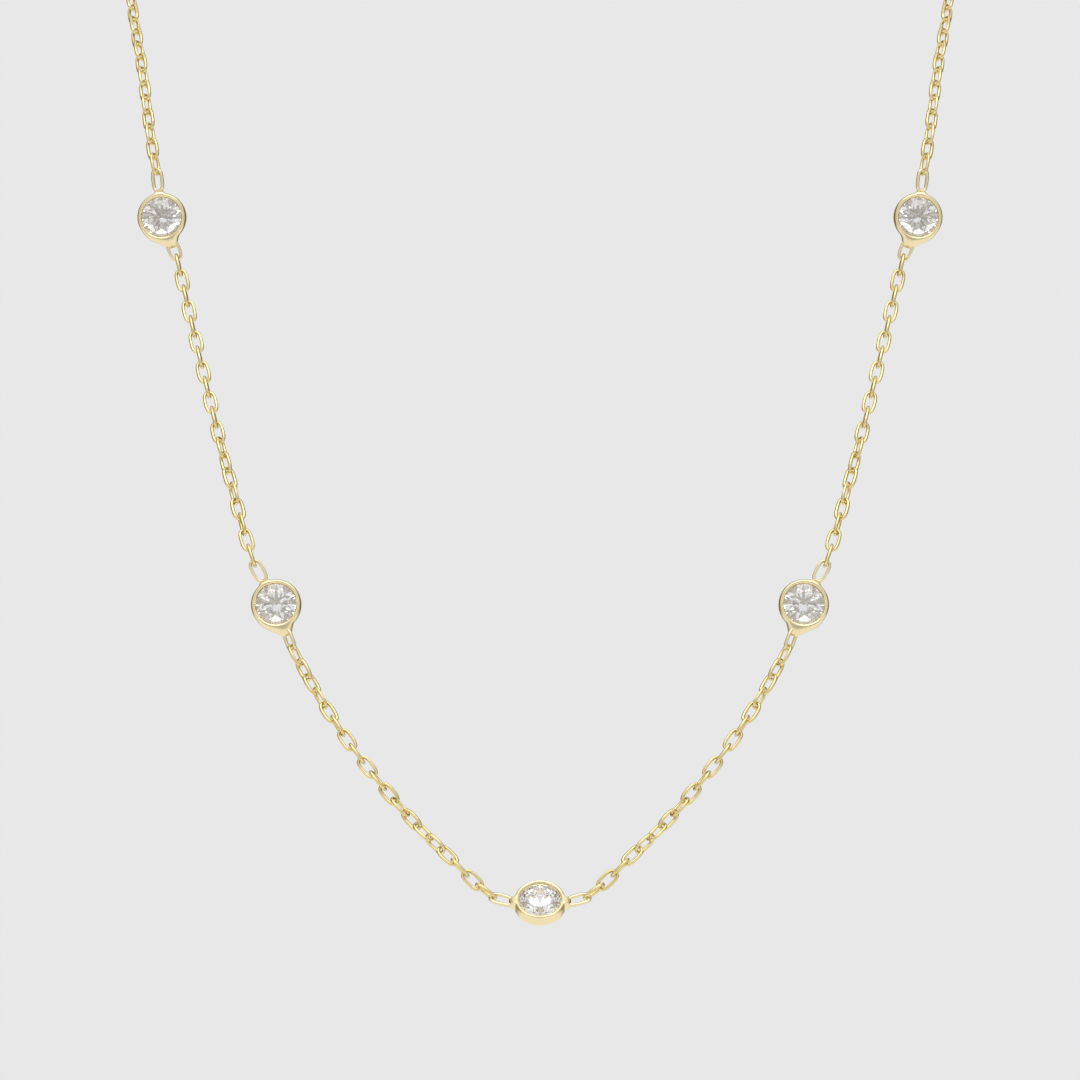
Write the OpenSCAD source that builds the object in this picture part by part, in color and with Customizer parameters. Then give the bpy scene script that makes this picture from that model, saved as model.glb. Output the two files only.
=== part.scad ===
// Station necklace: a fine cable chain worn in a loop round the neck, with five round
// brilliant stones in rubbed-over settings, each soldered to the links on either side of it.
// The origin is the nape, at the middle of the clasp. The front faces -Y and +Z is up.
// All sizes are in millimetres.

/* [Chain] */
// Distance from one link to the next along the chain
link_pitch = 2; // [1.85:0.05:2.3]
// Outside width of a link
link_w = 1.66; // [1.6:0.02:2]
// Thickness of the link wire
wire_d = 0.4; // [0.34:0.01:0.44]
// Play left between one link and the next
link_play = 0.18; // [0.16:0.01:0.22]
// Length of chain over which a run eases from a setting's own slant to the loop's
settle_len = 12; // [8:1:20]
// Length of chain over which it eases from a setting's upright face to the loop's lean
lean_len = 38; // [20:2:40]

/* [Stations] */
// Length of chain from the lowest stone to the next one up
front_gap = 48.1; // [44:0.1:52]
// Length of chain between the two stones of one side
side_gap = 50.6; // [46:0.1:54]
// How far the lowest stone looks up from straight ahead
centre_look_up = 45; // [30:1:60]
// How far the lower side stones look up
lower_look_up = 10; // [0:1:20]
// How far the upper side stones look up
upper_look_up = 0; // [0:1:15]
// How far the links beside the lowest stone rise from its solder tabs
centre_link_lift = 20; // [0:1:25]
// Turn at a lower side stone, which sits a little inside the line of the chain
lower_turn = 4; // [0:1:8]
// Turn at an upper side stone, which sits a little outside the line of the chain
upper_turn = -7; // [-10:1:0]

/* [Stone] */
// Diameter of a stone at its girdle
stone_d = 5; // [4:0.1:6]
// Thickness of the girdle
girdle_t = 0.1; // [0.06:0.01:0.2]
// Diameter of the table across its corners
table_d = 2.8; // [2.2:0.1:3]
// Diameter of the ring of points where the star facets end
star_d = 3.9; // [3.5:0.1:3.9]
// Diameter of the ring of points where the pavilion's long facets end
pavilion_point_d = 1.2; // [0.8:0.1:1.6]
// Slope of the crown's main facets
crown_slope = 34.5; // [32:0.5:36]
// Slope of the pavilion's main facets
pavilion_slope = 41; // [40:0.5:42]

/* [Setting] */
// Wall of the setting outside the stone
setting_wall = 0.32; // [0.25:0.01:0.5]
// How far the lip reaches in over the stone's edge
lip_cover = 0.2; // [0.1:0.01:0.24]
// Thickness of the lip's inner edge, under its bead
lip_edge = 0.06; // [0.04:0.01:0.1]
// Height of the lip's rounded bead above that edge
bead_h = 0.24; // [0.15:0.01:0.3]
// Clearance between stone and metal
stone_gap = 0.06; // [0.04:0.01:0.08]
// Depth of the upright wall below the girdle
wall_depth = 0.7; // [0.5:0.05:0.9]
// Depth of the whole setting below the girdle
setting_depth = 2.35; // [2.3:0.05:2.6]
// Diameter of the open back
back_hole_d = 2.2; // [1.6:0.1:2.6]
// Width of the flat rim round the open back
back_rim_w = 0.3; // [0.2:0.05:0.5]

/* [Solder tabs] */
// Thickness of a tab
tab_t = 0.7; // [0.5:0.05:0.7]
// Width of a tab's tip
tab_tip_w = 0.9; // [0.8:0.05:1.2]
// Reach of the long lower tab of a side setting, beyond the wall
lower_tab_reach = 1; // [0.7:0.05:1.1]
// Reach of the short upper tab of a side setting
upper_tab_reach = 0.3; // [0.25:0.05:0.5]
// Reach of the two tabs of the lowest setting
centre_tab_reach = 0.6; // [0.5:0.05:0.8]
// Distance from the wall to the middle of the soldered link's near end
root_gap = 0.22; // [0.2:0.01:0.26]
// How much deeper an upper side setting's lower link is sunk into its tab
sunk_root = 0.3; // [0:0.05:0.3]
// Roll of the link above an upper side setting
upper_link_roll = 28; // [0:1:40]
// Roll of the link below a lower side setting
lower_link_roll = 50; // [0:1:60]

/* [Clasp] */
// Outside diameter of the ring clasp
clasp_d = 5.4; // [5:0.1:7]
// Thickness of the clasp's tube
clasp_tube_d = 1; // [0.8:0.05:1.2]
// Outside diameter of the eye on the clasp
eye_d = 2; // [1.8:0.1:2.4]
// Thickness of the eye's wire
eye_wire_d = 0.45; // [0.4:0.05:0.5]
// Outside diameter of the plain ring at the other end of the chain
end_ring_d = 3.1; // [3:0.1:3.6]
// Thickness of that ring's wire
end_ring_wire_d = 0.5; // [0.4:0.05:0.6]
// Height of the thumb stud on the clasp
stud_h = 0.5; // [0.3:0.1:0.8]
// Thickness of the thumb stud
stud_d = 0.7; // [0.5:0.1:0.8]

/* [Hidden] */
$fn = 24;

// The right half of the loop, from the lowest point to the nape: [across, back, up].
// The front slopes back as it rises, the way a chest does, and the last points go round
// the side of the neck.
route = [
    [0, 0, 0], [5, 0.5, 1], [10, 1.5, 5], [15, 3.5, 9.5], [22, 6, 18], [27.5, 9.5, 27],
    [32, 12.5, 36.5], [36, 17, 48], [39.1, 21.2, 59], [42, 25, 70], [44.5, 28, 80],
    [46, 30, 87], [47.5, 34, 96.5], [49.5, 40, 106], [51, 48.5, 115.5], [50.5, 59.5, 123],
    [46.5, 72, 128.5], [38.5, 84, 132], [27, 94, 133.5], [13.5, 100.5, 134],
    [0, 102.5, 134]];
steps_per_point = 10;
samples_per_run = 60;
// How far a cutting shape runs past the metal that it cuts
cut_margin = 1;
// The way the front of the loop faces: forward and a little up
chest_normal = [0, -0.95, 0.33];
gold = [0.87, 0.72, 0.36];
stone_tint = [0.86, 0.87, 0.9, 0.6];

// Link sizes
link_half_l = (link_pitch + wire_d + link_play) / 2;
link_half_w = (link_w - wire_d) / 2;

// Stone sizes
girdle_r = stone_d / 2;
table_r = table_d / 2;
star_r = star_d / 2;
pavilion_point_r = pavilion_point_d / 2;
facets = 8;
facet_turn = 360 / facets;
half_turn = facet_turn / 2;
table_z = girdle_t / 2 + (girdle_r - table_r) * tan(crown_slope);
star_z = table_z - (star_r * cos(half_turn) - table_r) * tan(crown_slope);
pavilion_point_z = -girdle_t / 2
    - (girdle_r - pavilion_point_r * cos(half_turn)) * tan(pavilion_slope);
culet_z = -girdle_t / 2 - girdle_r * tan(pavilion_slope);

// Setting sizes
setting_r = girdle_r + stone_gap + setting_wall;
aperture_r = girdle_r - lip_cover;
// Slope of the metal faces over and under the stone's edge
edge_slope = 42;
edge_gap = stone_gap / cos(edge_slope);
lip_under_z = girdle_t / 2 + edge_gap + lip_cover * tan(edge_slope);
bead_z = lip_under_z + lip_edge;
// Steps round the bead
bead_steps = 8;
back_hole_r = back_hole_d / 2;
back_rim_r = back_hole_r + back_rim_w;
seat_end_z = -girdle_t / 2 - edge_gap - (girdle_r - back_hole_r) * tan(edge_slope);

// Stations of one half, from the lowest up
station_s = [0, front_gap, front_gap + side_gap];
look_up = [centre_look_up, lower_look_up, upper_look_up];
turn = [0, lower_turn, upper_turn];
lift = [centre_link_lift, 0, 0];
up_reach = [centre_tab_reach, upper_tab_reach, upper_tab_reach];
down_reach = [centre_tab_reach, lower_tab_reach, lower_tab_reach];
// Distance from a station's centre to the near end of the link above it, and below it
up_root = [for (j = [0 : 2]) setting_r + root_gap];
down_root = up_root - [0, 0, sunk_root];
// Roll of those links out of the setting's face
up_roll = [0, 0, upper_link_roll];
down_roll = [0, -lower_link_roll, 0];
// Where a tab leaves the wall, as angles from its tip: both sides of a short tab, and the
// two sides of a lower one. Its foot lies a little inside the wall.
short_tab_spread = 16;
foot_r = setting_r - 0.1;
tab_spread = [[short_tab_spread, short_tab_spread], [24, 48], [24, 48]];

// Clasp sizes, to the middle of each wire. The group of eye, clasp and ring is centred
// on the nape, and the chain hooks on at the same distance on both sides.
clasp_r = (clasp_d - clasp_tube_d) / 2;
eye_r = (eye_d - eye_wire_d) / 2;
end_ring_r = (end_ring_d - end_ring_wire_d) / 2;
// The eye's wire is sunk into the clasp's tube by a quarter of their two radii
eye_seat = 0.75 * (clasp_tube_d + eye_wire_d) / 2;
hook_x = end_ring_r + clasp_r + eye_r
    + (eye_seat - end_ring_wire_d - link_play - clasp_tube_d / 2 - eye_wire_d / 2) / 2;
end_ring_x = hook_x + end_ring_wire_d / 2 - end_ring_r;
clasp_x = end_ring_x - end_ring_r + end_ring_wire_d / 2 + link_play
    + clasp_tube_d / 2 - clasp_r;
eye_x = clasp_x - clasp_r - eye_seat - eye_r;
clasp_joint = [hook_x - (wire_d + link_play) / 2, 0, 0];
// The eye and the plain ring lie level, and the last links hang upright in them
clasp_normal = [0, 0, 1];

// Twist of the links along each run, front, side and back, in degrees
run_twist = [-135, -90, 0];
// How the twist builds up along a run: [share of the run, share of the twist]
twist_shares = [
    [[0, 0], [0.08, -0.25], [0.15, -0.24], [0.25, 0.13], [0.5, 0.5], [0.7, 0.68],
        [0.85, 0.97], [0.94, 1.15], [1, 1]],
    [[0, 0], [0.06, 0], [0.2, 0.28], [0.31, 0.42], [0.4, 0.82], [0.48, 1], [1, 1]],
    [[0, 0], [1, 1]]];

// Vectors and curves
function unit(v) = v / norm(v);
function smooth_point(a, b, c, d, t) =
    (2 * b + (c - a) * t + (2 * a - 5 * b + 4 * c - d) * t * t
    + (3 * b - a - 3 * c + d) * t * t * t) / 2;
function across(p) = [-p.x, p.y, p.z];
function smooth_curve(p) = let (last = len(p) - 1) [
    for (i = [0 : last - 1]) for (k = [0 : steps_per_point - 1])
        smooth_point(
            i > 0 ? p[i - 1] : across(p[1]),
            p[i],
            p[i + 1],
            i < last - 1 ? p[i + 2] : across(p[last - 1]),
            k / steps_per_point),
    p[last]];
function step_lengths(p) = [for (i = [1 : len(p) - 1]) norm(p[i] - p[i - 1])];
function running_sum(v) = [
    for (i = 0, s = 0; i <= len(v); s = s + (i < len(v) ? v[i] : 0), i = i + 1) s];
// A curve as three tables of length along it against x, y and z
function tables(p) = let (s = running_sum(step_lengths(p))) [
    for (axis = [0 : 2]) [for (i = [0 : len(p) - 1]) [s[i], p[i][axis]]]];
function on(curve, s) = [for (axis = [0 : 2]) lookup(s, curve[axis])];
function length_of(curve) = curve[0][len(curve[0]) - 1][0];

nape = route[len(route) - 1];
loop = tables([for (p = smooth_curve(route)) p - nape]);
half_length = length_of(loop);

// Directions in a station's face, by their angle from its upright towards its right
function face_dir(j, angle) = [
    sin(angle),
    cos(angle) * sin(look_up[j]),
    cos(angle) * cos(look_up[j])];
function face_normal(j) = [0, -cos(look_up[j]), sin(look_up[j])];
function chain_slant(j) = j == 0 ? 90
    : let (d = on(loop, station_s[j] + up_root[j]) - on(loop, station_s[j] - down_root[j]))
        atan2(d.x, d.z);
function up_angle(j) = chain_slant(j) + turn[j];
function down_angle(j) = 180 + chain_slant(j) - turn[j];
// A station's centre, moved aside so that its two soldered links lie on the loop
function station_at(j) = on(loop, station_s[j])
    - (up_root[j] + link_half_l) * sin(turn[j]) * face_dir(j, chain_slant(j) + 90);

// The point where a soldered link meets the first loose link
function station_joint(j, root, angle, rise) = station_at(j)
    + root * face_dir(j, angle)
    + (link_half_l + link_pitch / 2) * face_dir(j, angle - rise);
function joint_reach(root) = root + link_half_l + link_pitch / 2;

// Each run follows the loop and eases into the joints at its two ends
function fade(u) = u >= 1 ? 0 : (1 - u) * (1 - u) * (1 + 2 * u);
function eased(shift, far) = let (aside = fade(far / settle_len))
    [shift.x * aside, shift.y * fade(far / lean_len), shift.z * aside];
function run_start(k) = station_joint(k, up_root[k], up_angle(k), lift[k]);
function run_end(k) = k == 2 ? clasp_joint
    : station_joint(k + 1, down_root[k + 1], down_angle(k + 1), 0);
function run_from(k) = station_s[k] + joint_reach(up_root[k]);
function run_to(k) = k == 2 ? half_length - clasp_joint.x
    : station_s[k + 1] - joint_reach(down_root[k + 1]);
function run_curve(k) = let (
    from = run_from(k), to = run_to(k),
    start_shift = run_start(k) - on(loop, from),
    end_shift = run_end(k) - on(loop, to))
    tables([for (i = [0 : samples_per_run]) let (s = from + (to - from) * i / samples_per_run)
        on(loop, s) + eased(start_shift, s - from) + eased(end_shift, to - s)]);

// The roll of a direction v about the chain's own direction t
function rest_normal(t) = unit(chest_normal - (chest_normal * t) * t);
function roll_of(v, t) = let (n = rest_normal(t)) atan2(v * cross(t, n), v * n);
function start_roll(k, t) = roll_of(face_normal(k), t) + up_roll[k];
function end_roll(k, t) = k == 2 ? roll_of(clasp_normal, t)
    : roll_of(face_normal(k + 1), t) - down_roll[k + 1];
// The twist nearest the wanted one that brings the last link round to its fitting
function full_twist(k, start, end, count) = let (need = end - start - 90 * (count + 1))
    need + 180 * round((run_twist[k] - need) / 180);

module link() {
    side = 2 * (link_half_l - link_half_w);
    for (turned = [-90, 90]) rotate(turned) translate([0, side / 2, 0])
        rotate_extrude(angle = 180) translate([link_half_w, 0]) circle(d = wire_d);
    for (sy = [-1, 1]) translate([-side / 2, sy * link_half_w, 0])
        rotate([0, 90, 0]) cylinder(h = side, d = wire_d);
}

// A link between two points, with its flat face turned to n
module placed_link(a, b, n) {
    t = unit(b - a);
    flat = unit(n - (n * t) * t);
    wide = cross(flat, t);
    middle = (a + b) / 2;
    multmatrix([
        [t.x, wide.x, flat.x, middle.x],
        [t.y, wide.y, flat.y, middle.y],
        [t.z, wide.z, flat.z, middle.z],
        [0, 0, 0, 1]])
        link();
}

module chain_run(k) {
    curve = run_curve(k);
    count = round(length_of(curve) / link_pitch);
    pitch = length_of(curve) / count;
    joints = [for (i = [0 : count]) on(curve, i * pitch)];
    first = unit(joints[1] - joints[0]);
    last = unit(joints[count] - joints[count - 1]);
    start = start_roll(k, first);
    end = end_roll(k, last);
    twist = full_twist(k, start, end, count);
    color(gold) for (i = [0 : count - 1]) {
        t = unit(joints[i + 1] - joints[i]);
        n = rest_normal(t);
        roll = start + 90 * (i + 1) + twist * lookup((i + 1) / (count + 1), twist_shares[k]);
        placed_link(joints[i], joints[i + 1], cos(roll) * n + sin(roll) * cross(t, n));
    }
}

// The stone: a round brilliant cut with a 16-sided girdle
function ring_point(r, angle, z) = [r * cos(angle), r * sin(angle), z];
module brilliant() {
    points = [
        for (i = [0 : facets - 1]) ring_point(table_r, i * facet_turn, table_z),
        for (i = [0 : facets - 1]) ring_point(star_r, (i + 0.5) * facet_turn, star_z),
        for (i = [0 : 2 * facets - 1]) ring_point(girdle_r, i * half_turn, girdle_t / 2),
        for (i = [0 : 2 * facets - 1]) ring_point(girdle_r, i * half_turn, -girdle_t / 2),
        for (i = [0 : facets - 1])
            ring_point(pavilion_point_r, (i + 0.5) * facet_turn, pavilion_point_z),
        [0, 0, culet_z]];
    star = facets;
    top = 2 * facets;
    low = 4 * facets;
    long = 6 * facets;
    culet = 7 * facets;
    faces = [
        [for (i = [0 : facets - 1]) facets - 1 - i],
        for (i = [0 : facets - 1]) let (
            next = (i + 1) % facets, back = (i + facets - 1) % facets,
            mid = 2 * i + 1, right = (2 * i + 2) % (2 * facets))
            each [
                [i, next, star + i],
                [i, star + i, top + 2 * i],
                [i, top + 2 * i, star + back],
                [star + i, top + mid, top + 2 * i],
                [star + i, top + right, top + mid],
                [long + i, low + 2 * i, low + mid],
                [long + i, low + mid, low + right],
                [culet, low + 2 * i, long + i],
                [culet, long + back, low + 2 * i]],
        for (i = [0 : 2 * facets - 1]) let (next = (i + 1) % (2 * facets))
            each [[top + i, top + next, low + next], [top + i, low + next, low + i]]];
    polyhedron(points, faces);
}

// The metal outside, as a turned solid: lip with a half-round bead, upright wall and a
// cup tapering back
module setting_blank() {
    bead_r = (aperture_r + setting_r) / 2;
    bead = [for (i = [0 : bead_steps]) let (a = 180 * i / bead_steps) [
        bead_r - (setting_r - bead_r) * cos(a),
        bead_z + bead_h * sin(a)]];
    rotate_extrude() polygon(concat(
        [[0, bead_z]],
        bead,
        [[setting_r, -wall_depth], [back_rim_r, -setting_depth], [0, -setting_depth]]));
}

// The room for the stone: an opening in the lip, a groove for the girdle, a sloping seat
// and the open back
module setting_cavity() {
    groove_r = girdle_r + stone_gap;
    groove_z = girdle_t / 2 + edge_gap - stone_gap * tan(edge_slope);
    rotate_extrude() polygon([
        [0, bead_z + cut_margin], [aperture_r, bead_z + cut_margin],
        [aperture_r, lip_under_z], [groove_r, groove_z], [groove_r, -groove_z],
        [back_hole_r, seat_end_z], [back_hole_r, -setting_depth - cut_margin],
        [0, -setting_depth - cut_margin]]);
}

// A tab at the level of the stone's girdle
module tab(angle, reach, spread) {
    tip_r = setting_r + reach;
    translate([0, 0, -tab_t / 2]) rotate(-angle) linear_extrude(tab_t) {
        polygon([
            [0, 0],
            [foot_r * sin(spread[0]), foot_r * cos(spread[0])],
            [tab_tip_w / 2, tip_r - tab_tip_w / 2],
            [-tab_tip_w / 2, tip_r - tab_tip_w / 2],
            [-foot_r * sin(spread[1]), foot_r * cos(spread[1])]]);
        translate([0, tip_r - tab_tip_w / 2]) circle(d = tab_tip_w);
    }
}

// A soldered link, which points away from its root and may roll out of the face's plane
module soldered_link(root, angle, rise, roll) {
    translate([root * sin(angle), root * cos(angle), 0])
        rotate(90 - angle + rise) rotate([roll, 0, 0]) translate([link_half_l, 0, 0]) link();
}

module face_frame(j) {
    translate(station_at(j)) rotate([90 - look_up[j], 0, 0]) children();
}

module setting(j) {
    down = j == 0 ? 360 - up_angle(j) : down_angle(j);
    color(gold) face_frame(j) {
        difference() {
            union() {
                setting_blank();
                tab(up_angle(j), up_reach[j], tab_spread[0]);
                tab(down, down_reach[j], tab_spread[j]);
            }
            setting_cavity();
        }
        soldered_link(up_root[j], up_angle(j), lift[j], up_roll[j]);
        soldered_link(down_root[j], down, -lift[j], down_roll[j]);
    }
}

module stone(j) {
    color(stone_tint) face_frame(j) brilliant();
}

// The ring clasp is upright, and its eye lies level
module ring_clasp() {
    color(gold) {
        translate([clasp_x, 0, 0]) rotate([90, 0, 0]) rotate_extrude()
            translate([clasp_r, 0]) circle(d = clasp_tube_d);
        translate([clasp_x, 0, clasp_r]) cylinder(h = clasp_tube_d / 2 + stud_h, d = stud_d);
        translate([eye_x, 0, 0]) rotate_extrude()
            translate([eye_r, 0]) circle(d = eye_wire_d);
    }
}

module plain_end_ring() {
    color(gold) translate([end_ring_x, 0, 0]) rotate_extrude()
        translate([end_ring_r, 0]) circle(d = end_ring_wire_d);
}

module left() {
    mirror([1, 0, 0]) children();
}

setting(0);  // centre_setting
stone(0);  // centre_stone
left() setting(1);  // left_lower_setting
left() stone(1);  // left_lower_stone
setting(1);  // right_lower_setting
stone(1);  // right_lower_stone
left() setting(2);  // left_upper_setting
left() stone(2);  // left_upper_stone
setting(2);  // right_upper_setting
stone(2);  // right_upper_stone
left() chain_run(0);  // left_front_chain
left() chain_run(1);  // left_side_chain
left() chain_run(2);  // left_back_chain
chain_run(0);  // right_front_chain
chain_run(1);  // right_side_chain
chain_run(2);  // right_back_chain
ring_clasp();  // clasp
plain_end_ring();  // end_ring
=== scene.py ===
"""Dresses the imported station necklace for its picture.

The solids give every place: the stones give the stations' centres and directions, the
soldered ends give the tabs, and each link of chain is laid on the link that it replaces.
Shapes are surfaces over two parameters, worked out as whole arrays. The pieces' sizes are
in millimetres, and MM turns them into the scene's metres. The studio's are in metres.
"""

import logging
from dataclasses import dataclass, field
from enum import Enum

import bpy
import numpy as np
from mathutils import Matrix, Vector


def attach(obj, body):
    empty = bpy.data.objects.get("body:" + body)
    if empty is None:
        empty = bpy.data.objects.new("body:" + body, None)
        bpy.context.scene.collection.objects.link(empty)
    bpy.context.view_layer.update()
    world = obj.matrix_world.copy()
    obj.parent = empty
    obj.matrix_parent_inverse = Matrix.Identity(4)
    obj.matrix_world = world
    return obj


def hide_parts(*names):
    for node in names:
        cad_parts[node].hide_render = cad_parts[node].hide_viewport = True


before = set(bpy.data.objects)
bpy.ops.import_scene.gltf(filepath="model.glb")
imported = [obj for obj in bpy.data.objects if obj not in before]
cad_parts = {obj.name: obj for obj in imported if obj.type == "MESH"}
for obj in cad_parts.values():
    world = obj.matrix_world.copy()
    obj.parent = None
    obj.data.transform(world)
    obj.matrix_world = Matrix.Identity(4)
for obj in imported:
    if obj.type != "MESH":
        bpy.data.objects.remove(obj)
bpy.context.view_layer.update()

MM = 0.001
BODY = "root"
# Vertices of a solid in the same cell of this size, in metres, are one
MERGE_STEP = 0.0005 * MM
# A piece's tone where it has none of its own
MID_TONE = 0.5
# Between these lie most of a noise's values
NOISE_RANGE = (0.3, 0.7)
# A stone's points at more than this share of its radius are on the girdle
GIRDLE_SHARE = 0.99

Triple = tuple[float, float, float]
Stops = tuple[tuple[float, Triple], ...]
Band = tuple[tuple[float, float], Triple]
Socket = bpy.types.NodeSocket

log = logging.getLogger("necklace")


class Side(Enum):
    """The two halves of the necklace, by the sign of X."""

    LEFT = -1
    RIGHT = 1


class Height(Enum):
    """The three heights at which stones are set."""

    CENTRE = "centre"
    LOWER = "lower"
    UPPER = "upper"


class Run(Enum):
    """The three runs of chain of each half."""

    FRONT = "front"
    SIDE = "side"
    BACK = "back"


# Arrays


def unit(v: np.ndarray) -> np.ndarray:
    """Scales vectors to length one.

    Args:
        v: Vectors along the last axis.

    Returns:
        The vectors, each divided by its length.
    """
    return v / np.linalg.norm(v, axis=-1, keepdims=True)


def node_arrays(name: str) -> tuple[np.ndarray, np.ndarray]:
    """Reads a solid's mesh with its doubled vertices merged.

    Args:
        name: The solid's node.

    Returns:
        The corner points, one row each, in metres, and the triangles as rows of indices.
    """
    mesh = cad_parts[name].data
    points = np.empty(len(mesh.vertices) * 3, np.float32)
    mesh.vertices.foreach_get("co", points)
    mesh.calc_loop_triangles()
    triangles = np.empty(len(mesh.loop_triangles) * 3, np.int32)
    mesh.loop_triangles.foreach_get("vertices", triangles)
    grid = np.round(points.reshape(-1, 3).astype(float) / MERGE_STEP).astype(np.int64)
    merged, index = np.unique(grid, axis=0, return_inverse=True)
    return merged * MERGE_STEP, index.reshape(-1)[triangles].reshape(-1, 3)


def joined_groups(count: int, triangles: np.ndarray) -> np.ndarray:
    """Numbers the loose parts of a mesh.

    Each point takes the lowest number among the triangles that it belongs to, and then the
    number of the point that it names, until nothing changes.

    Args:
        count: How many points there are.
        triangles: Rows of three point indices.

    Returns:
        For each triangle, the number of its loose part, from zero.
    """
    label = np.arange(count)
    while True:
        lowest = label[triangles].min(axis=1)
        new = label.copy()
        for corner in range(3):
            np.minimum.at(new, triangles[:, corner], lowest)
        new = new[new]
        if np.array_equal(new, label):
            break
        label = new
    return np.unique(label[triangles[:, 0]], return_inverse=True)[1].reshape(-1)


@dataclass
class Surface:
    """A mesh before it is in the scene.

    Attributes:
        points: Its points (n, 3), in metres.
        faces: Rows of four point indices.
        tone: A value for each point, which the finish reads.
        wire: Whether each point is on a wire.
    """

    points: np.ndarray
    faces: np.ndarray
    tone: np.ndarray
    wire: np.ndarray

    @classmethod
    def grid(cls, points: np.ndarray, wire: bool = False) -> "Surface":
        """Makes closed grids, whose two parameters both run round and meet themselves.

        Args:
            points: An array of (grids, rows, columns, 3) or (rows, columns, 3).
            wire: Whether the grids are round wires, which have no sharp edges.

        Returns:
            The surface, with the middle tone on every point.
        """
        points = points if points.ndim == 4 else points[None]
        number = np.arange(points.size // 3).reshape(points.shape[:3])
        next_row = np.roll(number, -1, 1)
        next_column = np.roll(number, -1, 2)
        both = np.roll(next_row, -1, 2)
        faces = np.stack([number, next_row, both, next_column], -1).reshape(-1, 4)
        return cls(
            points.reshape(-1, 3), faces,
            np.full(number.size, MID_TONE), np.full(number.size, wire))

    @staticmethod
    def joined(parts: list["Surface"]) -> "Surface":
        """Joins surfaces into one.

        Args:
            parts: The surfaces.

        Returns:
            One surface with the parts' points one after another.
        """
        starts = np.cumsum([0] + [len(p.points) for p in parts[:-1]])
        return Surface(
            np.concatenate([p.points for p in parts]),
            np.concatenate([p.faces + s for p, s in zip(parts, starts)]),
            np.concatenate([p.tone for p in parts]),
            np.concatenate([p.wire for p in parts]),
        )

    def make(
        self, name: str, finish: bpy.types.Material, crease: float = 40.0
    ) -> bpy.types.Object:
        """Puts the surface into the scene.

        Args:
            name: The object's name.
            finish: Its material.
            crease: Edges that turn by more than this many degrees stay sharp, off wires.

        Returns:
            The new object, with its place in its mesh.
        """
        mesh = bpy.data.meshes.new(name)
        mesh.vertices.add(len(self.points))
        mesh.vertices.foreach_set("co", self.points.astype(np.float32).ravel())
        mesh.loops.add(self.faces.size)
        mesh.loops.foreach_set("vertex_index", self.faces.astype(np.int32).ravel())
        mesh.polygons.add(len(self.faces))
        starts = np.arange(0, self.faces.size, self.faces.shape[1], dtype=np.int32)
        mesh.polygons.foreach_set("loop_start", starts)
        mesh.update(calc_edges=True)
        mesh.validate()
        mesh.shade_smooth()
        mesh.set_sharp_from_angle(angle=np.radians(crease))
        self.smooth_wires(mesh)
        tone = mesh.attributes.new("tone", "FLOAT", "POINT")
        tone.data.foreach_set("value", self.tone.astype(np.float32))
        mesh.materials.append(finish)
        piece = bpy.data.objects.new(name, mesh)
        bpy.context.scene.collection.objects.link(piece)
        return piece

    def smooth_wires(self, mesh: bpy.types.Mesh) -> None:
        """Takes the sharp edges off the wires of a mesh.

        Args:
            mesh: The surface's mesh, with its sharp edges marked.
        """
        sharp = mesh.attributes.get("sharp_edge")
        if sharp is None:
            return
        ends = np.empty(len(mesh.edges) * 2, np.int32)
        mesh.edges.foreach_get("vertices", ends)
        marked = np.empty(len(mesh.edges), bool)
        sharp.data.foreach_get("value", marked)
        on_wire = self.wire[ends.reshape(-1, 2)].all(1)
        sharp.data.foreach_set("value", marked & ~on_wire)


# Finishes


def colour_mix(tree: bpy.types.NodeTree) -> tuple[Socket, Socket, Socket, Socket]:
    """Adds a node that mixes two colours.

    Args:
        tree: The node tree.

    Returns:
        The node's factor, its first and second colour, and its result.
    """
    mix = tree.nodes.new("ShaderNodeMix")
    mix.data_type = "RGBA"
    return mix.inputs[0], mix.inputs[6], mix.inputs[7], mix.outputs[2]


def dress(node: str, finish: bpy.types.Material) -> None:
    """Gives a solid that stays in view its finish.

    Args:
        node: The solid's node.
        finish: Its material.
    """
    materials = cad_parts[node].data.materials
    materials.clear()
    materials.append(finish)


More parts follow.
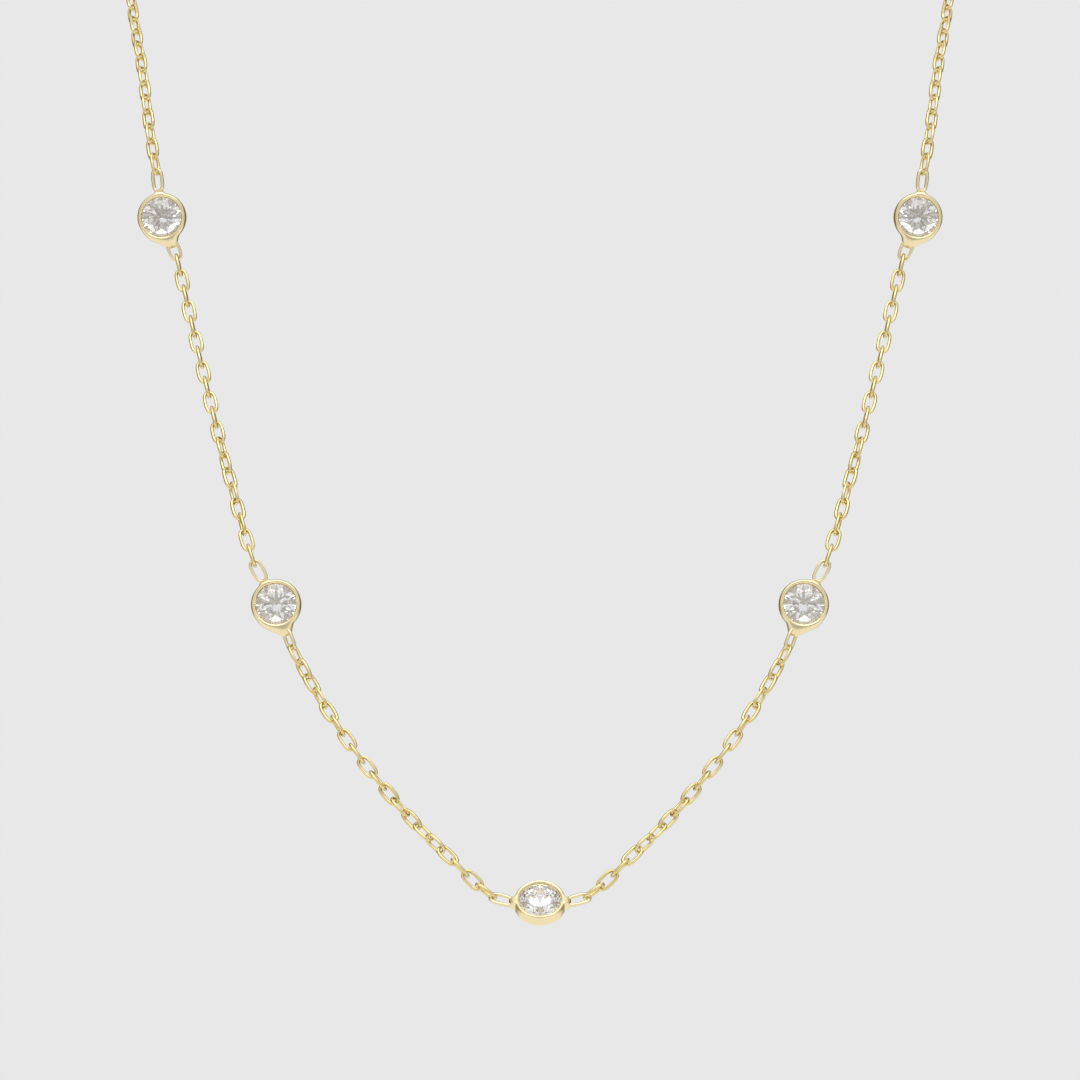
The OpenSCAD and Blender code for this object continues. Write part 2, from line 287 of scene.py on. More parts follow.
class Nodes:
    """A short way to write a material's nodes."""

    def __init__(self, material: bpy.types.Material) -> None:
        """Empties the material's tree and adds the shader and its output.

        Args:
            material: The new material.
        """
        material.use_nodes = True
        self.tree = material.node_tree
        self.tree.nodes.clear()
        self.shader = self.add("ShaderNodeBsdfPrincipled")
        output = self.add("ShaderNodeOutputMaterial")
        self.link(self.shader.outputs["BSDF"], output.inputs["Surface"])

    def add(self, kind: str, **values: object) -> bpy.types.Node:
        """Adds a node.

        Args:
            kind: The node's type.
            **values: Values for its inputs, with underscores for spaces.

        Returns:
            The new node.
        """
        new = self.tree.nodes.new(kind)
        for name, value in values.items():
            new.inputs[name.replace("_", " ")].default_value = value
        return new

    def link(self, source: Socket, target: Socket) -> None:
        """Joins an output to an input."""
        self.tree.links.new(source, target)

    def noise(self, size: float, detail: float = 3.0) -> Socket:
        """Adds noise on object coordinates.

        Args:
            size: The size of its features, in millimetres.
            detail: How many finer layers it has.

        Returns:
            The noise's value, about one half on average.
        """
        place = self.add("ShaderNodeTexCoord")
        noise = self.add("ShaderNodeTexNoise", Scale=1 / (size * MM), Detail=detail)
        self.link(place.outputs["Object"], noise.inputs["Vector"])
        return noise.outputs["Fac"]

    def spread(self, source: Socket, target: Socket, low: float, high: float) -> None:
        """Sends a noise to an input, with most of its values spread over low to high.

        Args:
            source: The noise.
            target: The input.
            low: What the input gets from the noise's low values.
            high: What it gets from its high ones.
        """
        least, most = NOISE_RANGE
        remap = self.add(
            "ShaderNodeMapRange", From_Min=least, From_Max=most, To_Min=low, To_Max=high)
        self.link(source, remap.inputs["Value"])
        self.link(remap.outputs["Result"], target)


@dataclass(frozen=True)
class GoldFinish:
    """Yellow gold plate: two close colours in soft patches, and a fine uneven polish.

    Attributes:
        name: The material's name.
        bright: Its lighter colour.
        deep: Its darker colour.
        roughness: The least and greatest roughness.
        patch: The size of the colour's patches.
        ripple: The size of the polish's ripples.
        ripple_depth: Their depth.
        tone_share: How much of the colour follows a piece's own tone, not the patches.
        polish_fineness: How many times finer the roughness's patches are than the colour's.
    """

    name: str
    bright: Triple
    deep: Triple
    roughness: tuple[float, float]
    patch: float
    ripple: float
    ripple_depth: float
    tone_share: float = 0.5
    polish_fineness: float = 3.0

    def material(self) -> bpy.types.Material:
        """Builds the finish.

        Returns:
            A metal whose colour drifts between bright and deep with noise and with each
            piece's own tone, and whose roughness and bump follow finer noise.
        """
        material = bpy.data.materials.new(self.name)
        nodes = Nodes(material)
        shader = nodes.shader
        shader.inputs["Metallic"].default_value = 1.0
        own = nodes.add("ShaderNodeAttribute")
        own.attribute_name = "tone"
        drift = nodes.add("ShaderNodeMath")
        drift.operation = "MULTIPLY_ADD"
        drift.inputs[1].default_value = 1 - self.tone_share
        nodes.link(nodes.noise(self.patch), drift.inputs[0])
        shift = nodes.add("ShaderNodeMath")
        shift.operation = "MULTIPLY"
        shift.inputs[1].default_value = self.tone_share
        nodes.link(own.outputs["Fac"], shift.inputs[0])
        nodes.link(shift.outputs[0], drift.inputs[2])
        factor, low, high, colour = colour_mix(nodes.tree)
        low.default_value = (*self.deep, 1)
        high.default_value = (*self.bright, 1)
        nodes.link(drift.outputs[0], factor)
        nodes.link(colour, shader.inputs["Base Color"])
        polish = nodes.noise(self.patch / self.polish_fineness)
        nodes.spread(polish, shader.inputs["Roughness"], *self.roughness)
        bump = nodes.add("ShaderNodeBump", Distance=self.ripple_depth * MM)
        nodes.link(nodes.noise(self.ripple, detail=2.0), bump.inputs["Height"])
        nodes.link(bump.outputs["Normal"], shader.inputs["Normal"])
        return material


@dataclass(frozen=True)
class StoneFinish:
    """A clear cut stone, with the faintest drift of grey in it.

    Attributes:
        name: The material's name.
        index: Its index of refraction.
        clear: Its lighter tint.
        smoky: Its darker tint.
        drift: The size of the tint's patches.
    """

    name: str = "clear_stone"
    index: float = 2.16
    clear: Triple = (0.99, 0.99, 1.0)
    smoky: Triple = (0.95, 0.95, 0.97)
    drift: float = 2.5

    def material(self) -> bpy.types.Material:
        """Builds the finish.

        Returns:
            A polished transparent body whose tint drifts with noise.
        """
        material = bpy.data.materials.new(self.name)
        nodes = Nodes(material)
        shader = nodes.shader
        shader.inputs["Transmission Weight"].default_value = 1.0
        shader.inputs["IOR"].default_value = self.index
        shader.inputs["Roughness"].default_value = 0.0
        factor, low, high, colour = colour_mix(nodes.tree)
        low.default_value = (*self.smoky, 1)
        high.default_value = (*self.clear, 1)
        nodes.link(nodes.noise(self.drift), factor)
        nodes.link(colour, shader.inputs["Base Color"])
        return material


# Links


@dataclass(frozen=True)
class LinkShape:
    """A link of round wire, bent to an oval with long flat sides.

    Attributes:
        half_length: Half the length of the wire's middle line.
        half_width: Half its width.
        flatness: The power of the superellipse that it is, 2 for a plain ellipse.
        wire: The wire's thickness.
        steps: Points along the middle line.
        wire_sides: Sides of the wire.
    """

    half_length: float = 1.29
    half_width: float = 0.63
    flatness: float = 2.9
    wire: float = 0.4
    steps: int = 16
    wire_sides: int = 6

    def outline(self) -> tuple[np.ndarray, np.ndarray]:
        """Works out the middle line of the wire, a superellipse.

        The share of the length to the power of the flatness, plus the share of the width
        to the same power, is one everywhere, and the outward direction is its slope. The
        points lie closer together round the ends than along the sides.

        Returns:
            The points (n, 2) in metres, and the outward directions (n, 2) there.
        """
        turn = 2 * np.pi * (np.arange(self.steps) + 0.5) / self.steps
        way = np.stack([np.cos(turn), np.sin(turn)], -1)
        shares = np.sign(way) * np.abs(way) ** (2 / self.flatness)
        half = np.array([self.half_length, self.half_width])
        outward = unit(np.sign(shares) * np.abs(shares) ** (self.flatness - 1) / half)
        return shares * half * MM, outward

    def laid(
        self, middle: np.ndarray, long: np.ndarray, wide: np.ndarray, tone: np.ndarray
    ) -> Surface:
        """Lays links at given places.

        A point of the wire's skin is the middle line's point, plus the wire's radius times
        the cosine of its angle outward and the sine of it square to the link.

        Args:
            middle: The links' middles (n, 3), in metres.
            long: Directions along the links.
            wide: Directions across the links.
            tone: One value for each link.

        Returns:
            All the links as one surface.
        """
        line, outward = self.outline()
        angle = 2 * np.pi * (np.arange(self.wire_sides) + 0.5) / self.wire_sides
        axes = np.stack([long, wide, np.cross(long, wide)], 1)
        flat = np.concatenate([line, np.zeros((len(line), 1))], 1)[:, None]
        out = np.concatenate([outward, np.zeros((len(line), 1))], 1)[:, None]
        up = np.array([0.0, 0.0, 1.0])
        normal = np.cos(angle)[:, None] * out + np.sin(angle)[:, None] * up
        skin = flat + self.wire / 2 * MM * normal
        points = np.einsum("rck,nkj->nrcj", skin, axes) + middle[:, None, None]
        surface = Surface.grid(points, wire=True)
        surface.tone = np.repeat(tone, skin.shape[0] * skin.shape[1])
        return surface


@dataclass
class ChainRun:
    """One run of loose links, laid on the solids' links.

    Attributes:
        side: The half that it is on.
        run: Which of the half's runs it is.
        finish: Its material.
        link: The shape of its links.
        seed_step: How far the seed for its links' tones lies from their number.
    """

    side: Side
    run: Run
    finish: bpy.types.Material
    link: LinkShape = field(default_factory=LinkShape)
    seed_step: int = 7

    @property
    def node(self) -> str:
        """The solid that the run replaces."""
        return f"{self.side.name.lower()}_{self.run.value}_chain"

    def places(self) -> tuple[np.ndarray, np.ndarray, np.ndarray]:
        """Finds each link of the solid.

        A link's middle is the mean of its surface, weighted by area, and its length,
        breadth and thickness lie along the axes of its surface's spread, from the widest
        to the narrowest.

        Returns:
            Middles, long directions and wide directions, one row for each link.
        """
        points, triangles = node_arrays(self.node)
        group = joined_groups(len(points), triangles)
        corners = points[triangles]
        edges = corners[:, 1:] - corners[:, :1]
        area = np.linalg.norm(np.cross(edges[:, 0], edges[:, 1]), axis=1)
        centre = corners.mean(1)
        total = np.bincount(group, area)
        moments = [np.bincount(group, area * centre[:, k]) for k in range(3)]
        middle = np.stack(moments, 1) / total[:, None]
        offset = centre - middle[group]
        spread = np.zeros((len(total), 3, 3))
        np.add.at(spread, group, area[:, None, None] * offset[:, :, None] * offset[:, None, :])
        axes = np.linalg.eigh(spread)[1]
        return middle, axes[:, :, 2], axes[:, :, 1]

    def build(self) -> bpy.types.Object:
        """Makes the run, hangs it on the body and hides the solid that it replaces.

        Returns:
            The run's links as one object.
        """
        middle, long, wide = self.places()
        chance = np.random.default_rng(len(middle) + self.seed_step * self.side.value)
        surface = self.link.laid(middle, long, wide, chance.random(len(middle)))
        piece = surface.make(f"{self.side.name.lower()}_{self.run.value}_links", self.finish)
        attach(piece, BODY)
        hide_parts(self.node)
        log.info("%s: %d links", piece.name, len(middle))
        return piece


# Stations


@dataclass(frozen=True)
class Tab:
    """A solder tab, as seen from the front.

    Attributes:
        angle: Its direction, in radians from up towards the right.
        tip: Distance from the station's middle to its tip.
        half_tip: Half the tip's width.
        flank_left: How far the flank before it leans from its direction, in radians.
        flank_right: The same for the flank after it.
    """

    angle: float
    tip: float
    half_tip: float
    flank_left: float
    flank_right: float


@dataclass(frozen=True)
class FacePlace:
    """A station's own frame.

    Attributes:
        middle: The middle of the girdle, in metres.
        right: Direction to the right in the stone's face.
        up: Direction up in it.
        forward: The way the stone faces.
    """

    middle: np.ndarray
    right: np.ndarray
    up: np.ndarray
    forward: np.ndarray

    @classmethod
    def of_stone(cls, node: str) -> "FacePlace":
        """Reads a stone's place from its solid.

        The stone's axis is the way its points spread least. It points from the culet to the
        table, and the middle is the mean of the girdle's points.

        Args:
            node: The stone's node.

        Returns:
            The station's frame, with up as near to Z as the face allows.
        """
        points, _ = node_arrays(node)
        offset = points - points.mean(0)
        axis = np.linalg.eigh(offset.T @ offset)[1][:, 0]
        depth = offset @ axis
        forward = axis if -depth.min() > depth.max() else -axis
        off_axis = np.linalg.norm(offset - np.outer(depth, axis), axis=1)
        middle = points[off_axis > GIRDLE_SHARE * off_axis.max()].mean(0)
        upright = np.array([0.0, 0.0, 1.0])
        up = unit(upright - (upright @ forward) * forward)
        return cls(middle, np.cross(up, forward), up, forward)

    def local(self, points: np.ndarray) -> np.ndarray:
        """Turns scene points into the station's frame."""
        return (points - self.middle) @ np.stack([self.right, self.up, self.forward], 1)

    def world(self, points: np.ndarray) -> np.ndarray:
        """Turns points of the station's frame into scene points."""
        return points @ np.stack([self.right, self.up, self.forward]) + self.middle

    def turned(self, vectors: np.ndarray) -> np.ndarray:
        """Turns directions of the station's frame into scene directions."""
        return vectors @ np.stack([self.right, self.up, self.forward])


@dataclass(frozen=True)
class BezelShape:
    """The cast bezel: lip, wall, cup and the room for the stone, as one closed profile.

    Radii are from the stone's axis, and depths from the girdle, with forward as plus.

    Attributes:
        wall: Radius of the upright wall.
        opening: Radius of the lip's inner edge.
        lip_edge: Depth of that edge.
        crest_r: Radius of the bead's crest.
        crest: Depth of the crest.
        rim_depth: Depth of the outline, where the bezel is widest.
        wall_depth: Depth of the wall's foot.
        wall_taper: How far the wall draws in towards its foot.
        groove: Radius of the groove round the girdle.
        groove_depth: Half the groove's height.
        seat_end: Depth at which the seat ends in the open back.
        back_hole: Radius of the open back.
        back_rim: Radius of the rim round it.
        back_bevel: Breadth of the bevel on that rim.
        depth: Depth of the back.
        rounding: How softly the outline's corners are rounded.
        least_bend: The least angle between a flank and the outline's radius, in radians.
        farthest: The greatest distance that a flank is followed to.
        widest_turn: The greatest angle from a tab's direction that its end is followed to.
        bulge_reach: How far past the wall the outline has its full bulge.
        over_power: Power of the profile from crest to outline, on the wall.
        bulge_power: What the full bulge adds to it.
        foot_power: Power of the profile's radius from outline to foot.
        under_power: Power of its depth there.
        around: Steps round the bezel.
        inside: Steps from the lip's edge to the crest.
        over: Steps from the crest to the outline.
        under: Steps from the outline to the foot.
    """

    wall: float = 2.88
    opening: float = 2.3
    lip_edge: float = 0.21
    crest_r: float = 2.6
    crest: float = 0.6
    rim_depth: float = -0.05
    wall_depth: float = -0.72
    wall_taper: float = 0.05
    groove: float = 2.56
    groove_depth: float = 0.1
    seat_end: float = -1.33
    back_hole: float = 1.1
    back_rim: float = 1.4
    back_bevel: float = 0.08
    depth: float = -2.35
    rounding: float = 0.07
    least_bend: float = 0.05
    farthest: float = 9.0
    widest_turn: float = 1.2
    bulge_reach: float = 0.9
    over_power: float = 0.85
    bulge_power: float = 0.8
    foot_power: float = 0.7
    under_power: float = 0.8
    around: int = 288
    inside: int = 6
    over: int = 14
    under: int = 10

    def reach(self, angle: np.ndarray, tabs: list[Tab]) -> np.ndarray:
        """Gives the bezel's outline from the front.

        Beside a tab the outline is a straight flank. Along a radius it is as far from the
        middle as the flank's nearest point over the sine of the angle between the two.
        Past a right angle it is that distance times the sine, so that it falls away. The
        tip is a straight end. Soft least and soft greatest values, from sums of
        exponentials, round the tip's corners and blend the flanks into the round wall.

        Args:
            angle: Angles round the face, in radians from up towards the right.
            tabs: The solder tabs.

        Returns:
            The outline's distance from the middle at each angle, in millimetres.
        """
        def soft(a: np.ndarray, b: np.ndarray, sign: float) -> np.ndarray:
            """Gives the soft greatest value for a plus sign and the soft least for a minus."""
            k = sign / self.rounding
            return np.logaddexp(k * a, k * b) / k

        result = np.full_like(angle, self.wall)
        for tab in tabs:
            turn = (angle - tab.angle + np.pi) % (2 * np.pi) - np.pi
            lean = np.where(turn < 0, tab.flank_left, tab.flank_right)
            corner = np.arcsin(tab.half_tip / tab.tip)
            distance = tab.tip * np.sin(corner + lean)
            bend = np.abs(turn) + lean
            rising = np.sin(np.clip(bend, self.least_bend, np.pi))
            flank = np.where(bend < np.pi / 2, distance / rising, distance * rising)
            end = tab.tip / np.cos(np.clip(turn, -self.widest_turn, self.widest_turn))
            shape = soft(np.minimum(flank, self.farthest), end, -1.0)
            result = soft(result, shape, 1.0)
        return result

    def surface(self, tabs: list[Tab]) -> Surface:
        """Works out the whole bezel.

        At each angle the profile rises from the stone to the crest of the bead as a quarter
        of an ellipse, falls to the outline as a second, softer one and goes under it to the
        foot of the wall as a third. It goes on as straight lines down the cup, round the
        open back and up inside to the stone again.

        Args:
            tabs: The solder tabs.

        Returns:
            The closed surface in the station's frame, in metres.
        """
        angle = 2 * np.pi * np.arange(self.around) / self.around
        reach = self.reach(angle, tabs)[:, None]
        bulge = np.clip((reach - self.wall) / self.bulge_reach, 0, 1)
        rise = np.linspace(0, np.pi / 2, self.inside, endpoint=False)
        inner_r = self.opening + (self.crest_r - self.opening) * (1 - np.cos(rise))
        inner_z = self.lip_edge + (self.crest - self.lip_edge) * np.sin(rise)
        inner = np.broadcast_to(np.stack([inner_r, inner_z], -1), (self.around, self.inside, 2))
        over = np.linspace(0, np.pi / 2, self.over)[None]
        top_r = self.crest_r + (reach - self.crest_r) * np.sin(over)
        fall = np.cos(over) ** (self.over_power + self.bulge_power * bulge)
        top_z = self.rim_depth + (self.crest - self.rim_depth) * fall
        under = np.linspace(0, np.pi / 2, self.under + 1)[None, 1:]
        foot = self.wall - self.wall_taper
        low_r = foot + (reach - foot) * np.cos(under) ** self.foot_power
        sink = np.sin(under) ** self.under_power
        low_z = self.rim_depth + (self.wall_depth - self.rim_depth) * sink
        low_z = np.broadcast_to(low_z, low_r.shape)
        plain = np.array([
            [self.back_rim, self.depth + self.back_bevel],
            [self.back_rim - self.back_bevel, self.depth],
            [self.back_hole, self.depth],
            [self.back_hole, self.seat_end],
            [self.groove, -self.groove_depth],
            [self.groove, self.groove_depth],
        ])
        rest = np.broadcast_to(plain, (self.around, *plain.shape))
        radius = np.concatenate([inner[..., 0], top_r, low_r, rest[..., 0]], 1) * MM
        height = np.concatenate([inner[..., 1], top_z, low_z, rest[..., 1]], 1) * MM
        points = np.stack([
            radius * np.sin(angle)[:, None], radius * np.cos(angle)[:, None], height], -1)
        return Surface.grid(points)


@dataclass
class Station:
    """A stone in its bezel, with the two links that are soldered to it.

    Attributes:
        side: The half that it is on, or None for the lowest.
        height: Which of the heights it is at.
        gold: The metal's material.
        stone: The stone's material.
        bezel: The bezel's shape.
        link: The shape of the soldered links.
        root: Distance from the middle to the near end of a soldered link.
        sunk_root: The same for the lower link of an upper station.
        upper_roll: Roll of the upper link of an upper station, in degrees.
        lower_roll: Roll of the lower link of a lower station.
        centre_lift: How far the lowest station's links rise from their tabs, in degrees.
        centre_tip: Distance from the middle to the tips of the lowest station's tabs.
        upper_tip: The same for a side station's short upper tab.
        lower_tip: The same for its long lower tab.
        half_tip: Half the width of a tab's tip.
        steep_flank: Lean of a lower tab's inner flank, in degrees.
        wide_flank: Lean of its outer flank.
        even_flank: Lean of an upper tab's two flanks.
        slim_flank: Lean of the flanks of the lowest station's tabs.
        end_depth: Points this near the farthest one are a soldered link's far end.
    """

    side: Side | None
    height: Height
    gold: bpy.types.Material
    stone: bpy.types.Material
    bezel: BezelShape = field(default_factory=BezelShape)
    link: LinkShape = field(default_factory=LinkShape)
    root: float = 3.1
    sunk_root: float = 2.8
    upper_roll: float = 28.0
    lower_roll: float = -50.0
    centre_lift: float = 20.0
    centre_tip: float = 3.48
    upper_tip: float = 3.15
    lower_tip: float = 3.88
    half_tip: float = 0.46
    steep_flank: float = 30.0
    wide_flank: float = 45.0
    even_flank: float = 38.0
    slim_flank: float = 22.0
    end_depth: float = 0.05

    @property
    def stem(self) -> str:
        """The start of the station's node names."""
        half = "" if self.side is None else f"{self.side.name.lower()}_"
        return half + self.height.value

    def link_ends(self, place: FacePlace) -> list[float]:
        """Finds the far ends of the soldered links on the solid.

        Args:
            place: The station's frame.

        Returns:
            The two angles of the ends, from up towards the right, the upper or right first.
        """
        flat = place.local(node_arrays(f"{self.stem}_setting")[0])[:, :2]
        far = np.linalg.norm(flat, axis=1)
        first_side = flat[:, 0] > 0 if self.side is None else flat[:, 1] > 0
        ends = []
        for chosen in (first_side, ~first_side):
            end = flat[chosen & (far > far[chosen].max() - self.end_depth * MM)].mean(0)
            ends.append(float(np.arctan2(end[0], end[1])))
        return ends

    def roots(self) -> list[tuple[float, float]]:
        """Gives the places of the two soldered links.

        Returns:
            Each link's distance from the middle and its roll, the upper or right first.
        """
        if self.height is Height.UPPER:
            return [(self.root, self.upper_roll), (self.sunk_root, 0.0)]
        return [(self.root, 0.0), (self.root, self.lower_roll if self.side else 0.0)]

    def soldered(
        self, place: FacePlace, end: float, root: float, roll: float
    ) -> tuple[float, Surface]:
        """Lays one soldered link.

        The link starts at its root in the tab and leans from the tab's own direction by
        its lift. The angle from the tab's direction to the far end's has as its tangent the
        far end's rise over its reach. The link's breadth is the direction across it in the
        face times the cosine of its roll, less the face's forward direction times the sine.

        Args:
            place: The station's frame.
            end: The angle of the link's far end.
            root: Distance from the station's middle to the link's near end.
            roll: Roll out of the face, in degrees, as on the right half.

        Returns:
            The tab's angle and the link.
        """
        length = 2 * self.link.half_length
        lift = np.radians(0.0 if self.side else self.centre_lift) * np.sign(np.sin(end))
        angle = end + np.arctan2(length * np.sin(lift), root + length * np.cos(lift))
        lean = angle - lift
        along = np.array([np.sin(lean), np.cos(lean), 0.0])
        start = np.array([root * np.sin(angle), root * np.cos(angle), 0.0])
        middle = (start + self.link.half_length * along) * MM
        tilt = np.radians(roll) * (-1 if self.side is Side.LEFT else 1)
        across = np.array([along[1] * np.cos(tilt), -along[0] * np.cos(tilt), -np.sin(tilt)])
        surface = self.link.laid(
            place.world(middle)[None],
            place.turned(along)[None],
            place.turned(across)[None],
            np.array([MID_TONE]),
        )
        return angle, surface

    def tabs(self, angles: list[float]) -> list[Tab]:
        """Gives the two tabs.

        The lower tab of a side station is long, with a wide outer flank.

        Args:
            angles: The tabs' directions, the upper or right one first.

        Returns:
            The tabs in the same order.
        """
        steep, wide, even, slim = np.radians(
            [self.steep_flank, self.wide_flank, self.even_flank, self.slim_flank])
        if self.side is None:
            return [Tab(a, self.centre_tip, self.half_tip, slim, slim) for a in angles]
        outer_left = self.side is Side.LEFT
        lower = Tab(
            angles[1], self.lower_tip, self.half_tip,
            steep if outer_left else wide, wide if outer_left else steep)
        return [Tab(angles[0], self.upper_tip, self.half_tip, even, even), lower]

    def build(self) -> bpy.types.Object:
        """Makes the metal, dresses the stone, hangs the metal on the body and hides the solid
        setting.

        Returns:
            The bezel and its two links as one object.
        """
        place = FacePlace.of_stone(f"{self.stem}_stone")
        angles, links = zip(*[
            self.soldered(place, end, *root)
            for end, root in zip(self.link_ends(place), self.roots())])
        bezel = self.bezel.surface(self.tabs(list(angles)))
        bezel.points = place.world(bezel.points)
        piece = Surface.joined([bezel, *links]).make(f"{self.stem}_bezel", self.gold)
        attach(piece, BODY)
        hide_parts(f"{self.stem}_setting")
        dress(f"{self.stem}_stone", self.stone)
        log.info("%s: tabs at %s degrees", piece.name, np.degrees(angles).round(1))
        return piece


@dataclass
class Fastening:
    """The ring clasp and the plain ring at the nape, which keep the solids' own shape."""

    finish: bpy.types.Material
    nodes: tuple[str, str] = ("clasp", "end_ring")

    def build(self) -> None:
        """Gives both rings their finish."""
        for name in self.nodes:
            dress(name, self.finish)
            log.info("%s: dressed", name)


# Studio


@dataclass(frozen=True)
class Softbox:
    """An even rectangular lamp that faces the necklace, and may be kept to some nodes.

    Attributes:
        name: The lamp's name.
        place: Where it hangs, in metres.
        width: Its width, in metres.
        height: Its height, in metres.
        power: Its power, in watts.
        kept_to: The end of the names of the nodes that it lights, or None for all.
        colour: Its colour.
    """

    name: str
    place: Triple
    width: float
    height: float
    power: float
    kept_to: str | None = None
    colour: Triple = (1.0, 1.0, 1.0)

    def build(self, aim: Triple) -> None:
        """Hangs the lamp and turns it to the aim, hidden from the camera.

        Args:
            aim: The point that it faces.
        """
        lamp = bpy.data.lights.new(self.name, "AREA")
        lamp.shape = "RECTANGLE"
        lamp.size, lamp.size_y, lamp.energy = self.width, self.height, self.power
        lamp.color = self.colour
        holder = bpy.data.objects.new(self.name, lamp)
        holder.location = self.place
        holder.rotation_mode = "QUATERNION"
        away = Vector(self.place) - Vector(aim)
        holder.rotation_quaternion = away.to_track_quat("Z", "Y")
        holder.visible_camera = False
        if self.kept_to:
            lit = bpy.data.collections.new(f"{self.name}_lights")
            for name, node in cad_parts.items():
                if name.endswith(self.kept_to):
                    lit.objects.link(node)
            holder.light_linking.receiver_collection = lit
        bpy.context.scene.collection.objects.link(holder)


@dataclass
class Studio:
    """Pale floor, soft light and the camera at the picture's angle. Lengths are in metres.

    Attributes:
        camera_place: Where the camera stands.
        lens: Its focal length, in millimetres.
        view_limit: How far it sees.
        bounces: How often light bounces.
        inner_bounces: How often it bounces on metal or passes a stone's faces.
        floor_drop: How far the floor lies below the nape.
        floor_size: The floor's side.
        pale: How bright floor and background are.
        front_to_back: The room's light on metal, by shares of the way from front to back.
        overhead: The light above that blends in between two heights, and its colour.
        table_glow: The same for the light from below.
        in_stones: The room's light as rays that leave a stone see it, by shares of the way
            from below to above.
        aim: The point that the lamps face.
        lamps: The lamps.
    """

    camera_place: Triple = (0.0, -0.587, -0.0935)
    lens: float = 144.3
    view_limit: float = 100.0
    bounces: int = 32
    inner_bounces: int = 24
    floor_drop: float = 0.45
    floor_size: float = 60.0
    pale: float = 0.807
    front_to_back: Stops = (
        (0.0, (0.5, 0.49, 0.48)),
        (0.08, (0.84, 0.83, 0.8)),
        (0.22, (1.04, 1.03, 1.0)),
        (0.42, (0.6, 0.54, 0.42)),
        (0.58, (0.33, 0.28, 0.17)),
        (0.8, (0.2, 0.17, 0.09)),
        (1.0, (0.16, 0.14, 0.08)),
    )
    overhead: Band = ((0.3, 0.85), (1.0, 0.99, 0.96))
    table_glow: Band = ((-0.1, -0.5), (1.0, 0.98, 0.92))
    in_stones: Stops = (
        (0.0, (0.55, 0.52, 0.48)),
        (0.2, (0.33, 0.31, 0.29)),
        (0.3, (0.37, 0.35, 0.32)),
        (0.36, (0.6, 0.57, 0.54)),
        (0.44, (0.48, 0.45, 0.42)),
        (0.5, (0.29, 0.27, 0.25)),
        (0.54, (0.36, 0.34, 0.31)),
        (0.6, (0.46, 0.44, 0.41)),
        (0.64, (0.88, 0.88, 0.88)),
        (1.0, (0.76, 0.79, 0.84)),
    )
    aim: Triple = (0.0, -0.08, -0.08)
    lamps: tuple[Softbox, ...] = (
        Softbox("top_softbox", place=(0.0, -0.45, 0.55), width=0.6, height=0.4, power=1.2),
        Softbox(
            "stone_softbox", place=(0.0, -0.23, -0.4), width=1.0, height=0.24, power=2.4,
            kept_to="stone"),
        Softbox(
            "table_softbox", place=(0.0, -0.14, 0.28), width=0.25, height=0.25, power=0.32,
            kept_to="centre_stone", colour=(0.84, 0.92, 1.0)),
    )

    def build(self) -> None:
        """Sets up floor, surroundings, lamps and camera."""
        self.floor()
        self.surroundings()
        for lamp in self.lamps:
            lamp.build(self.aim)
        self.camera()

    def floor(self) -> None:
        """Lays a large floor that glows evenly, as a lit table does."""
        half = self.floor_size / 2
        corners = [(-half, -half), (half, -half), (half, half), (-half, half)]
        mesh = bpy.data.meshes.new("floor")
        mesh.from_pydata([(x, y, -self.floor_drop) for x, y in corners], [], [(0, 1, 2, 3)])
        material = bpy.data.materials.new("pale_floor")
        nodes = Nodes(material)
        nodes.shader.inputs["Base Color"].default_value = (0, 0, 0, 1)
        nodes.shader.inputs["Specular IOR Level"].default_value = 0.0
        nodes.shader.inputs["Emission Color"].default_value = (1, 1, 1, 1)
        nodes.shader.inputs["Emission Strength"].default_value = self.pale
        mesh.materials.append(material)
        piece = bpy.data.objects.new("floor", mesh)
        bpy.context.scene.collection.objects.link(piece)
        piece.visible_glossy = piece.visible_transmission = piece.visible_diffuse = False

    def surroundings(self) -> None:
        """Makes the room: plain pale to look at, with soft bright and dim bands as light.

        Metal sees the colours along Y, with the light above and below blended in along Z.
        Rays that leave a stone see the colours along Z instead.
        """
        world = bpy.data.worlds.new("room")
        bpy.context.scene.world = world
        world.use_nodes = True
        tree = world.node_tree
        tree.nodes.clear()
        add, join = tree.nodes.new, tree.links.new
        place = add("ShaderNodeTexCoord")
        parts = add("ShaderNodeSeparateXYZ")
        join(place.outputs["Generated"], parts.inputs[0])

        def ramp(value: Socket, stops: Stops) -> Socket:
            """Spreads colours over a value that runs from -1 to 1.

            Args:
                value: The value.
                stops: Shares of that way and the colours there.

            Returns:
                The colour at the value.
            """
            share = add("ShaderNodeMapRange")
            share.inputs["From Min"].default_value = -1.0
            join(value, share.inputs["Value"])
            scale = add("ShaderNodeValToRGB")
            join(share.outputs["Result"], scale.inputs["Fac"])
            for _ in stops[2:]:
                scale.color_ramp.elements.new(0.5)  # its place is set below
            for element, (position, colour) in zip(scale.color_ramp.elements, stops):
                element.position = position
                element.color = (*colour, 1)
            return scale.outputs["Color"]

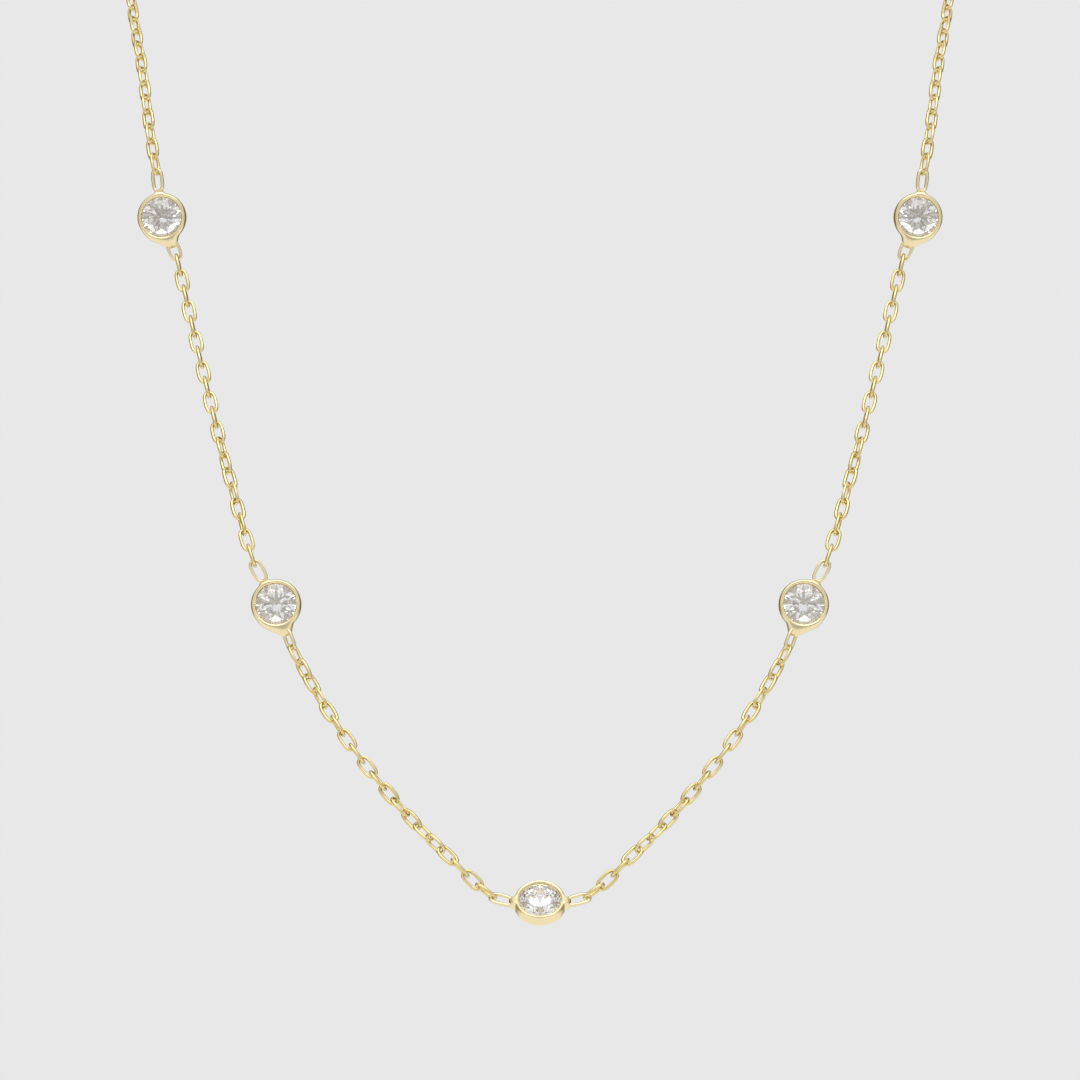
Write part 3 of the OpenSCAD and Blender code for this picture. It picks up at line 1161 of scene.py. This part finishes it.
        _, y, z = parts.outputs
        lit = ramp(y, self.front_to_back)
        for span, colour in (self.overhead, self.table_glow):
            ease = add("ShaderNodeMapRange")
            ease.interpolation_type = "SMOOTHSTEP"
            ease.inputs["From Min"].default_value, ease.inputs["From Max"].default_value = span
            join(z, ease.inputs["Value"])
            factor, under, over, blend = colour_mix(tree)
            over.default_value = (*colour, 1)
            join(ease.outputs["Result"], factor)
            join(lit, under)
            lit = blend
        path = add("ShaderNodeLightPath")
        factor, on_metal, in_stone, through = colour_mix(tree)
        join(path.outputs["Is Transmission Ray"], factor)
        join(lit, on_metal)
        join(ramp(z, self.in_stones), in_stone)
        light = add("ShaderNodeBackground")
        join(through, light.inputs["Color"])
        seen = add("ShaderNodeBackground")
        seen.inputs["Color"].default_value = (self.pale, self.pale, self.pale, 1)
        mix = add("ShaderNodeMixShader")
        join(path.outputs["Is Camera Ray"], mix.inputs[0])
        join(light.outputs[0], mix.inputs[1])
        join(seen.outputs[0], mix.inputs[2])
        output = add("ShaderNodeOutputWorld")
        join(mix.outputs[0], output.inputs[0])

    def camera(self) -> None:
        """Places a level camera and lets light bounce often enough inside the stones."""
        lens = bpy.data.cameras.new("camera")
        lens.lens = self.lens
        lens.clip_end = self.view_limit
        camera = bpy.data.objects.new("camera", lens)
        camera.location = self.camera_place
        camera.rotation_euler = (np.pi / 2, 0, 0)
        scene = bpy.context.scene
        scene.collection.objects.link(camera)
        scene.camera = camera
        scene.view_settings.view_transform = "Standard"
        scene.cycles.max_bounces = self.bounces
        scene.cycles.glossy_bounces = self.inner_bounces
        scene.cycles.transmission_bounces = self.inner_bounces


def main() -> None:
    """Builds the necklace's pieces and the studio."""
    logging.basicConfig(level=logging.INFO, format="%(message)s")
    cast = GoldFinish(
        "gold_bezel", bright=(0.92, 0.82, 0.56), deep=(0.86, 0.73, 0.43),
        roughness=(0.16, 0.28), patch=1.4, ripple=0.6, ripple_depth=0.006).material()
    wire = GoldFinish(
        "gold_wire", bright=(0.86, 0.73, 0.39), deep=(0.78, 0.63, 0.27),
        roughness=(0.08, 0.17), patch=0.9, ripple=0.8, ripple_depth=0.004).material()
    stone = StoneFinish().material()
    stations = [(None, Height.CENTRE)] + [
        (side, height) for height in (Height.LOWER, Height.UPPER) for side in Side]
    for side, height in stations:
        Station(side, height, cast, stone).build()
    for side in Side:
        for run in Run:
            ChainRun(side, run, wire).build()
    Fastening(wire).build()
    Studio().build()


if __name__ == "__main__":
    main()
